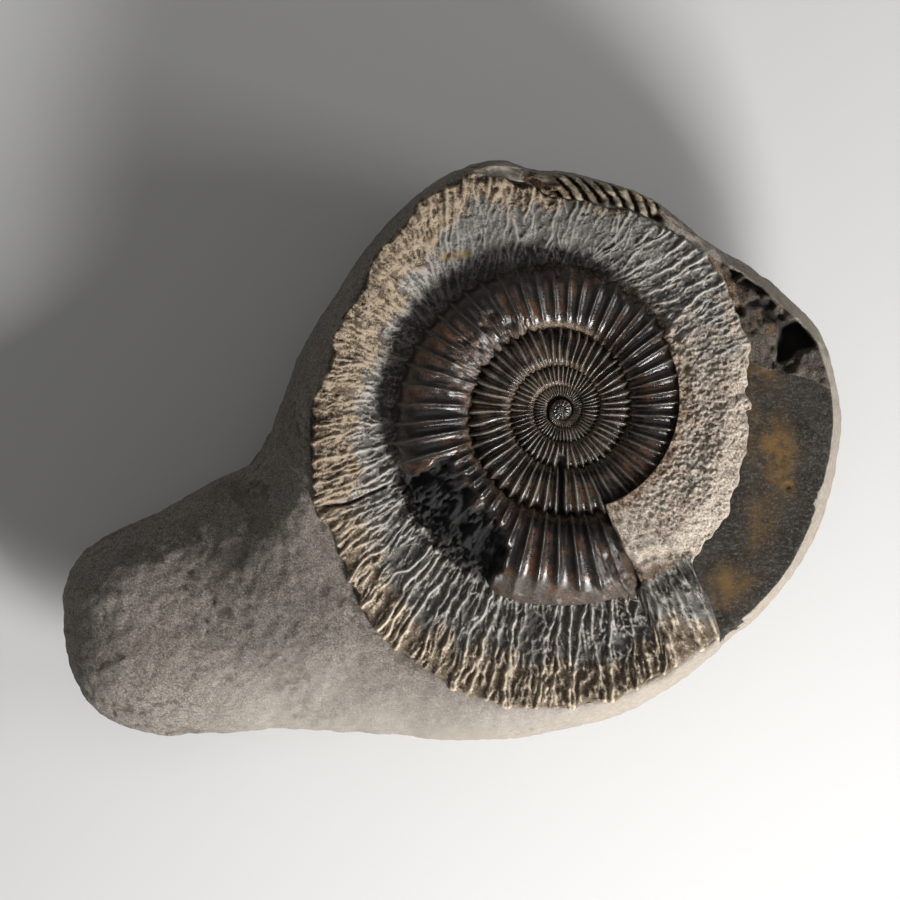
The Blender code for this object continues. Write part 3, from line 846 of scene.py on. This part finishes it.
def build_ammonite(material):
    along = coil_stations()
    upper = round(SECTION_POINTS * VISIBLE_SHARE)
    section = np.concatenate([np.linspace(*UPPER_SECTION, upper),
                              np.linspace(*LOWER_SECTION, SECTION_POINTS - upper)])
    around, psi = np.meshgrid(along, section, indexing="ij")
    outer = coil_radius(around)
    inner = outer / COIL_GROWTH
    around = around - 2.4 * np.sin(np.radians(np.clip(psi, 0, 180))) ** 2 + 1.2
    from_start = around - along[0]
    swollen = 1 + 2 * ramp(150, 0, from_start)
    cap = np.sqrt(unit(1 - ((35 - from_start) / 37).clip(0, 1) ** 2))
    high = WHORL_HALF_HEIGHT * outer * swollen * cap
    across, upward = np.cos(np.radians(psi)), np.sin(np.radians(psi))
    rise = (1 - np.abs(across) ** SECTION_POWER).clip(0) ** (1 / SECTION_POWER)
    rise = np.where(upward > 0, rise, upward)
    out_x = -across * np.abs(across) ** 1.2
    out_z = np.sqrt(1 - out_x ** 2) * np.sign(upward)
    last = ramp(-60, -30, around - (COIL_END - 360))

    # Ribs, stronger and rounder towards the middle
    rib_number = around * (RIBS_PER_TURN - RIB_STAGGER) / 360
    inward = ramp(34, 15, outer)
    phase = rib_number + (0.12 + 0.16 * inward) * noise(joined(rib_number, psi / 50, 0), 1.6, 71)
    whole = np.floor(rib_number + 0.5).astype(np.int64)
    size = (0.8 + 0.35 * hashed(whole, 3, 5, 72)) * (1 + 1.3 * ramp(34, 12, outer))
    crest = (1 - np.abs(2 * (phase - np.floor(phase) - 0.5))) ** (2.3 - 0.9 * inward)
    on_flank = ramp(4, 26 + 34 * inward, psi) * (1 - 0.6 * ramp(165, 200, psi))
    smooth_top = window(SMOOTH_TOP_SPAN, around) * last * ramp(75, 35, psi)
    rib = RIB_HEIGHT * outer * crest * size * on_flank * (1 - 0.8 * smooth_top)

    radius = MIDDLE_SHARE * outer * ramp(0, 220, from_start)
    radius = radius - WHORL_HALF_WIDTH * outer * swollen * cap * across
    level = COIL_MIDDLE_LEVEL + COIL_CENTRE_RISE * (COIL_RADIUS - outer).clip(0) + high * rise
    p = put(around, radius, level)
    flat = p * (1, 1, 0)
    rag = noise(p, 3, 73, 2)

    # Where the last whorl is worn to a band, broken away or under a crust
    share = (radius - inner) / (outer - inner)
    up = between(psi, TOP_SIDE)
    worn = ramp(238, 262, around) * ramp(0.74, 0.9, share + 0.08 * rag) * up
    end = 236 + 11 * ramp(27, 34, radius)
    broken = ramp(202.5, 205, around + 2 * rag) * ramp(end + 1.5, end - 1.5, around + 2 * rag)
    broken = broken * ramp(0.26, 0.42, share + 0.1 * rag) * up
    crust = window(UPPER_LEFT_SPAN, around) * ramp(96, 60, psi + 34 * rag) * ramp(4, 25, psi)
    crust += window(TOP_CRUST_SPAN, around) * ramp(130, 150, psi + 18 * rag) * last
    crust += ramp(276, 291, around + 3 * rag) * ramp(0.2, 0.8, share + 0.3 * rag) * up
    crust = unit(crust)
    seam = window(SEAM_SPAN, around) * bell(psi - 27, 12)
    grain = noise(p, 1.5, 74, 3)
    crumbs = 0.7 * grain + 0.5 * noise(p, 0.8, 78, 2) + 0.5 * facets(p, 2.2, 80, 1)
    rough = 0.02 * noise(p, 0.8, 75, 2) + crust * crumbs + seam * (0.55 + 0.45 * grain)
    rib *= (1 - 0.85 * crust) * (1 - 0.72 * worn) * (1 - broken) * (1 - 0.8 * seam)
    out = rib + rough + 0.22 * worn * grain - 0.4 * RIB_HEIGHT * outer * on_flank
    radius = radius + out * out_x
    level = level + out * out_z
    loss = np.interp(around, *zip(*WHORL_LOSS)) * (around > WHORL_LOSS[0][0])
    level -= loss * unit((share - LOSS_FROM) / (LOSS_FULL - LOSS_FROM)) * up

    foot = ramp(244, 252, around) * ramp(138, 168, psi) * up
    reach = BAND_REACH - 2.2 * ramp(301, 309, around)
    pulled = np.where(around > 300, reach - radius, np.maximum(0, reach - radius))
    radius = radius + foot * pulled * ramp(100, 165, psi)
    stump = STUMP_LEVEL - 5.5 * (share - 0.5) + 1.1 * facets(flat, 3.3, 76, 1)
    stump += 0.6 * facets(flat, 1.5, 77, 1) + 0.35 * noise(p, 0.9, 79, 2)
    stump = np.where(share > 0.45, stump, np.minimum(level, stump))
    level = level + (stump - level) * broken * (psi < 196)
    gap = bell(distance_to_line(*place(around, radius), *GAP), 0.45) * (radius < 25)
    level -= 1.7 * gap * between(psi, (0, 190))
    level -= 9 * ramp(291, 297.5, around) * up
    band = BAND_LEVEL + 1.4 * ramp(1, 0.75, share) + 0.18 * grain + 1.3 * ramp(284, 295, around)
    level = level + foot * np.maximum(0, band - level) * (1 - broken)

    # The tube, closed at both ends, and the core in its middle
    points = put(around, radius, level)
    rows, columns = around.shape
    middle = np.array([points[0].mean(axis=0), points[-1].mean(axis=0)])
    ring = np.arange(columns)
    final = ring + (rows - 1) * columns
    faces = sheet_faces(rows, columns).tolist()
    faces += [[rows * columns, a, b] for a, b in zip(ring.tolist(), np.roll(ring, -1).tolist())]
    faces += [[rows * columns + 1, b, a] for a, b in zip(final.tolist(), np.roll(final, -1).tolist())]
    points = np.concatenate([points.reshape(-1, 3), middle])
    turn, out = np.meshgrid(np.arange(CORE_COLUMNS) * 360 / CORE_COLUMNS,
                            np.linspace(CORE_RADIUS, 0.05, CORE_ROWS))
    top = level[(radius < 3.4) & (psi < 180)].max() + CORE_RISE
    ridge = 0.5 + 0.5 * np.cos(np.radians(turn * 13 + 60 * out))
    dome = top - 0.12 * out ** 2 + 0.2 * ridge * ramp(0.3, 0.9, out)
    dome = dome - 0.34 * bell(out - 0.55 - 1.6 * turn / 360, 0.2)
    core = put(turn, out, dome).reshape(-1, 3)
    faces += (sheet_faces(CORE_ROWS, CORE_COLUMNS) + len(points)).tolist()
    points = np.concatenate([points, core])
    for start, way in ((len(points) - CORE_COLUMNS, 1), (len(points) - CORE_ROWS * CORE_COLUMNS, -1)):
        faces.append((start + np.arange(CORE_COLUMNS)).tolist()[::way])

    def full(value, at_core=0):
        """The value at every point, with one value for the whole core."""
        return np.concatenate([value.ravel(), [0, 0], np.full(core.shape[0], at_core)])

    seams = ramp(52 + 22 * inward, 12 + 14 * inward, psi) + ramp(150, 185, psi)
    values = {
        "crest": full(crest * on_flank * (1 - broken)),
        "crust": full(crust * (0.75 + 0.5 * grain) + seam),
        "worn": full(worn),
        "black": full(broken + gap),
        "inner": full(ramp(33, 18, outer) * (1 - 0.5 * ramp(60, 15, psi)) * (0.75 + 0.9 * rag)),
        "seam": full(seams + 0.5 * smooth_top + 0.7 * ramp(6.5, 3, outer), 0.35),
    }
    return make_object("ammonite_shell", points, faces, material, values)


# Materials


class Shader:
    """A material's node tree with short calls for the nodes that it uses."""

    def __init__(self, name):
        self.material = bpy.data.materials.new(name)
        self.material.use_nodes = True
        self.tree = self.material.node_tree
        self.surface = self.tree.nodes["Principled BSDF"]
        self.place = self.node("TexCoord", {})["Object"]

    def node(self, kind, inputs, **settings):
        """A new node with its settings made and then its inputs fed: by a socket, by the mesh's value of
        that name, or with a number or a colour."""
        made = self.tree.nodes.new("ShaderNode" + kind)
        for name, value in settings.items():
            setattr(made, name, value)
        for name, value in inputs.items():
            self.feed(made.inputs[name], value)
        return made.outputs

    def feed(self, socket, value):
        if isinstance(value, str):
            value = self.value(value)
        if isinstance(value, bpy.types.NodeSocket):
            self.tree.links.new(value, socket)
        elif isinstance(value, tuple) and socket.type == "RGBA":
            socket.default_value = (*value, 1)
        else:
            socket.default_value = value

    def value(self, name):
        return self.node("Attribute", {}, attribute_name=name)["Fac"]

    def noise(self, size, detail=4, rough=0.6, stretch=None, warp=0):
        """A noise value whose lumps are size millimetres across."""
        where = self.place
        if stretch:
            where = self.node("VectorMath", {0: where, 1: stretch}, operation="MULTIPLY")[0]
        return self.node("TexNoise", {"Vector": where, "Scale": 1000 / size, "Detail": detail,
                                                "Roughness": rough, "Distortion": warp})["Fac"]

    def maths(self, operation, a, b=0, clamp=False):
        return self.node("Math", {0: a, 1: b}, operation=operation, use_clamp=clamp)[0]

    def times(self, a, b):
        return self.maths("MULTIPLY", a, b)

    def ramp(self, value, low, high, start=0, end=1):
        inputs = {"Value": value, "From Min": low, "From Max": high, "To Min": start, "To Max": end}
        return self.node("MapRange", inputs, interpolation_type="SMOOTHSTEP")["Result"]

    def mix(self, share, a, b):
        return self.node("Mix", {"Factor": share, "A": a, "B": b}, data_type="RGBA")["Result"]

    def layered(self, colour, *layers):
        """Colours laid over one another: each has a mask, the mask's values at which it starts and is
        full, and how much it covers where it is full."""
        for mask, low, high, most, over in layers:
            colour = self.mix(self.ramp(mask, low, high, 0, most), colour, over)
        return colour

    def bump(self, height, distance, strength=1, under=None):
        inputs = {"Height": height, "Distance": distance * MM, "Strength": strength}
        if under:
            inputs["Normal"] = under
        return self.node("Bump", inputs)["Normal"]

    def finish(self, colour, roughness, normal, **others):
        inputs = {"Base Color": colour, "Roughness": roughness, "Normal": normal, **others}
        for name, value in inputs.items():
            self.feed(self.surface.inputs[name.replace("_", " ")], value)
        return self.material


def skin_material():
    s = Shader("weathered_limestone")
    fine, grain = s.noise(1.5, 6, 0.85), s.noise(0.42, 3, 0.8)
    weathered = s.layered(
        (0.22, 0.187, 0.157),
        (s.noise(26, 6, 0.65), 0.38, 0.62, 1, (0.295, 0.262, 0.228)),
        (s.noise(13, 5, 0.7), 0.5, 0.64, 0.6, (0.2, 0.18, 0.135)),
        (s.noise(17, 5, 0.7), 0.52, 0.66, 0.6, (0.225, 0.185, 0.18)),
        (fine, 0.47, 0.6, 0.8, (0.105, 0.083, 0.068)),
        (s.noise(0.9, 4, 0.8, (0.6, 1.4, 1), 1.4), 0.51, 0.62, 0.6, (0.4, 0.365, 0.32)),
        (grain, 0.53, 0.64, 0.8, (0.45, 0.41, 0.365)),
        (grain, 0.47, 0.38, 0.6, (0.09, 0.072, 0.058)),
        ("pits", 0.1, 0.9, 0.6, (0.11, 0.085, 0.065)))
    # Painted light: paler skin towards the lit lower edge
    weathered = s.mix(s.times("painted_light", 0.55), weathered, (0.44, 0.395, 0.345))
    slate = s.layered(
        (0.018, 0.015, 0.012),
        (s.noise(9, 6, 0.7), 0.35, 0.7, 1, (0.036, 0.031, 0.025)),
        (s.noise(1.1, 5, 0.8, (0.7, 1.3, 1), 0.5), 0.48, 0.62, 0.7, (0.085, 0.075, 0.064)))
    ochre = s.times("ochre", s.ramp(s.noise(3.5, 6, 0.75), 0.34, 0.54, 0.25, 1))
    slate = s.mix(ochre, slate, (0.16, 0.092, 0.03))
    slate = s.layered(slate, (s.noise(0.6, 3), 0.55, 0.7, 0.6, (0.14, 0.125, 0.107)))
    tan = s.layered(
        (0.042, 0.034, 0.026),
        (s.noise(3, 5, 0.7), 0.4, 0.62, 1, (0.105, 0.087, 0.07)),
        (s.noise(5, 6, 0.75), 0.55, 0.64, 0.85, (0.13, 0.062, 0.026)),
        (grain, 0.52, 0.66, 0.7, (0.25, 0.22, 0.185)))
    shell = s.layered((0.3, 0.25, 0.175), (fine, 0.4, 0.6, 1, (0.46, 0.41, 0.32)))
    # Painted light: the pale colour laid along the lit edges and on the peak
    painted_edge_light = s.layered((0.33, 0.285, 0.23), (fine, 0.42, 0.6, 1, (0.46, 0.41, 0.345)))
    crumb = s.layered((0.12, 0.068, 0.034), (grain, 0.45, 0.6, 1, (0.4, 0.31, 0.22)))
    colour = s.layered(
        weathered,
        ("fresh", 0.35, 0.65, 1, slate),
        ("corner", 0.2, 0.8, 1, tan),
        # painted shade in the chips' hollows
        ("deep", 0.3, 0.7, 0.9, (0.022, 0.02, 0.018)),
        ("print", 0.3, 0.8, 1, shell),
        # painted light along the lit edges
        ("painted_edge_light", 0, 1, 0.75, painted_edge_light),
        ("crumb", 0.2, 0.7, 0.9, crumb),
        # painted shade in the print's grooves and the hole
        ("groove", 0.2, 0.7, 1, (0.045, 0.027, 0.017)))
    return s.finish(colour, 0.85, s.bump(fine, 0.6, 0.9, s.bump(grain, 0.24)), Specular_IOR_Level=0.2)


def bowl_material():
    s = Shader("chiselled_limestone")
    patch, fine, grain = s.noise(5, 5, 0.7), s.noise(1.5, 5, 0.75), s.noise(0.5, 3, 0.75)
    bruise = s.maths("ADD", fine, s.times(grain, 2))
    high = s.ramp(s.maths("ADD", s.times("crest", 1.15), bruise), 1.62, 2.2)
    stone = s.layered((0.092, 0.086, 0.079), (patch, 0.35, 0.65, 1, (0.16, 0.148, 0.132)))
    stone = s.mix(high, stone, (0.43, 0.4, 0.36))
    # Painted shade: the stone over the top of the ring is darkened
    stone = s.mix(s.times("painted_top_shade", 0.5), stone, (0.062, 0.057, 0.052))
    rind = s.layered((0.054, 0.037, 0.024), (patch, 0.38, 0.62, 1, (0.118, 0.085, 0.057)))
    rind = s.mix(high, rind, (0.34, 0.268, 0.192))
    rind = s.layered(rind, (grain, 0.47, 0.38, 0.6, (0.045, 0.031, 0.021)))
    # Painted light: the rind on the side facing the key light is coloured lighter
    rind = s.mix("painted_front_light", rind, s.mix(high, (0.145, 0.108, 0.074), (0.56, 0.465, 0.355)))
    lump = s.layered(
        (0.285, 0.225, 0.175),
        (patch, 0.36, 0.62, 1, (0.44, 0.375, 0.305)),
        (fine, 0.5, 0.62, 0.6, (0.14, 0.11, 0.088)),
        (grain, 0.5, 0.62, 0.85, (0.56, 0.5, 0.43)),
        (grain, 0.46, 0.38, 0.7, (0.058, 0.044, 0.033)),
        ("pits", 0.1, 0.9, 0.6, (0.1, 0.078, 0.06)))
    rust = s.layered((0.15, 0.094, 0.06), (grain, 0.45, 0.62, 1, (0.32, 0.245, 0.178)))
    rusted = s.times("rust", s.ramp(fine, 0.3, 0.55, 0.3, 1))
    stained = s.times("ochre", s.ramp(fine, 0.38, 0.55, 0.25, 0.95))
    colour = s.mix("rind", stone, rind)
    colour = s.layered(colour, ("lump", 0.1, 0.9, 1, lump))
    colour = s.mix(stained, s.mix(rusted, colour, rust), (0.2, 0.135, 0.045))
    colour = s.layered(colour, ("black", 0.25, 0.8, 0.92, (0.028, 0.026, 0.024)))
    return s.finish(colour, 0.88, s.bump(fine, 0.5, 0.8, s.bump(grain, 0.34)), Specular_IOR_Level=0.25)


def shell_material():
    s = Shader("ammonite_mineral")
    names = "crest", "crust", "worn", "black", "inner"
    crest, crust, worn, black, inner = (s.value(name) for name in names)
    patch, fine, grain = s.noise(7, 5, 0.7), s.noise(1.4, 5, 0.7), s.noise(0.4, 3, 0.7)
    low = s.maths("SUBTRACT", 1, crest, True)
    rusty = s.times(s.ramp(patch, 0.47, 0.64), s.ramp(low, 0.3, 0.95))
    rusty = s.times(rusty, s.ramp(grain, 0.36, 0.56, 0.2, 1))
    groove = s.times(s.times(inner, low), s.ramp(fine, 0.44, 0.58, 0, 0.8))
    # Painted highlight: the rib crests, most of all on the inner whorls, are coloured pale grey as if they
    # caught the light
    painted_light = s.times(s.ramp(crest, 0.15, 0.85), s.maths("ADD", s.times(inner, 0.75), 0.08))
    painted_light = s.times(painted_light, s.ramp(grain, 0.38, 0.6, 0.4, 1))
    seam = s.times("seam", s.ramp(fine, 0.32, 0.52, 0.3, 1))
    tan = s.layered((0.085, 0.054, 0.036), (grain, 0.42, 0.62, 1, (0.3, 0.24, 0.18)))
    old = s.layered(
        (0.01, 0.007, 0.005),
        (fine, 0.42, 0.66, 1, (0.088, 0.042, 0.022)),
        (grain, 0.54, 0.66, 0.75, (0.27, 0.19, 0.13)))
    band = s.layered(
        (0.02, 0.013, 0.008),
        (fine, 0.38, 0.64, 1, (0.058, 0.043, 0.029)),
        (s.noise(3.4, 3), 0.52, 0.62, 0.7, (0.085, 0.038, 0.022)),
        (s.noise(2.6, 3), 0.6, 0.68, 0.7, (0.17, 0.158, 0.146)),
        (grain, 0.55, 0.66, 0.7, (0.185, 0.148, 0.112)))
    colour = s.layered((0.01, 0.008, 0.007), (fine, 0.4, 0.7, 1, (0.026, 0.02, 0.017)))
    for share, over in ((rusty, (0.095, 0.043, 0.021)), (groove, (0.105, 0.064, 0.04)),
                        (painted_light, (0.27, 0.238, 0.2))):
        colour = s.mix(share, colour, over)
    colour = s.layered(
        colour,
        (seam, 0.15, 0.8, 0.85, tan),
        (crust, 0.2, 0.7, 1, old),
        (worn, 0.2, 0.8, 1, band),
        (black, 0.2, 0.8, 1, (0.009, 0.008, 0.0075)))
    dull = s.maths("MAXIMUM", s.times(crust, 0.6), s.maths("MAXIMUM", worn, black))
    roughness = s.maths("ADD", s.ramp(grain, 0.3, 0.7, 0.1, 0.26), s.times(dull, 0.6), True)
    roughness = s.maths("ADD", roughness, s.times(black, 0.12), True)
    normal = s.bump(s.noise(0.35, 4, 0.7), 0.08, 0.8)
    normal = s.bump(s.noise(1.2, 4, 0.65), 0.13, 0.55, normal)
    normal = s.bump(s.times(black, s.noise(0.9, 5, 0.8)), 0.9, 1, normal)
    return s.finish(colour, roughness, normal, IOR=1.64)


def floor_material():
    s = Shader("studio_floor")
    tone = s.mix(s.noise(120, 2), (0.6, 0.595, 0.585), (0.63, 0.625, 0.615))
    return s.finish(tone, 0.7, s.bump(s.noise(3, 2), 0.05, 0.1))


# The studio

CAMERA_LENS = 250
SENSOR_WIDTH = 36
FRAME_WIDTH = 211.5
OUTLINE_LEVEL = 29
FLOOR_SIZE = 3000
CAMERA_SEES = 20
# Azimuth, elevation, distance and size of each light, and its power
LIGHTS = {
    "key": (-58, 30, 0.75, 0.24, 9.1),
    "rim": (-5, 24, 1.4, 0.45, 7),
    "top": (100, 75, 1.6, 1.2, 1.8),
}
SURROUNDING_LIGHT = 0.15


def build_floor():
    half = FLOOR_SIZE / 2
    corners = np.array([(-half, -half, 0), (half, -half, 0), (half, half, 0), (-half, half, 0)], float)
    floor = make_object("floor", corners, np.array([[0, 1, 2, 3]]), floor_material())


def add_light(name, azimuth, elevation, distance, size, power):
    """A square soft light aimed at the stone from an azimuth and an elevation."""
    a, e = math.radians(azimuth), math.radians(elevation)
    lamp = bpy.data.lights.new(name, "AREA")
    lamp.size = size
    lamp.energy = power
    item = new_object(name, lamp)
    item.location = (distance * math.cos(e) * math.cos(a), distance * math.cos(e) * math.sin(a),
                     distance * math.sin(e))
    item.rotation_euler = (math.pi / 2 - e, 0, a + math.pi / 2)


def build_studio():
    build_floor()
    for name, settings in LIGHTS.items():
        add_light(name, *settings)
    world = bpy.data.worlds.new("studio")
    world.use_nodes = True
    light = world.node_tree.nodes["Background"].inputs
    light["Color"].default_value = (1, 1, 1, 1)
    light["Strength"].default_value = SURROUNDING_LIGHT
    bpy.context.scene.world = world
    camera = bpy.data.cameras.new("camera")
    camera.lens = CAMERA_LENS
    camera.sensor_width = SENSOR_WIDTH
    camera.clip_end = CAMERA_SEES
    item = new_object("camera", camera)
    item.location = (0, 0, (OUTLINE_LEVEL + FRAME_WIDTH * CAMERA_LENS / SENSOR_WIDTH) * MM)
    bpy.context.scene.camera = item
    bpy.context.scene.view_settings.view_transform = "Standard"


stone_pieces = [build_skin(skin_material()), build_bowl(bowl_material())]
shell = build_ammonite(shell_material())
for piece in stone_pieces:
    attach(piece, "root")
    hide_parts("nodule")
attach(shell, "root")
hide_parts("ammonite")
build_studio()
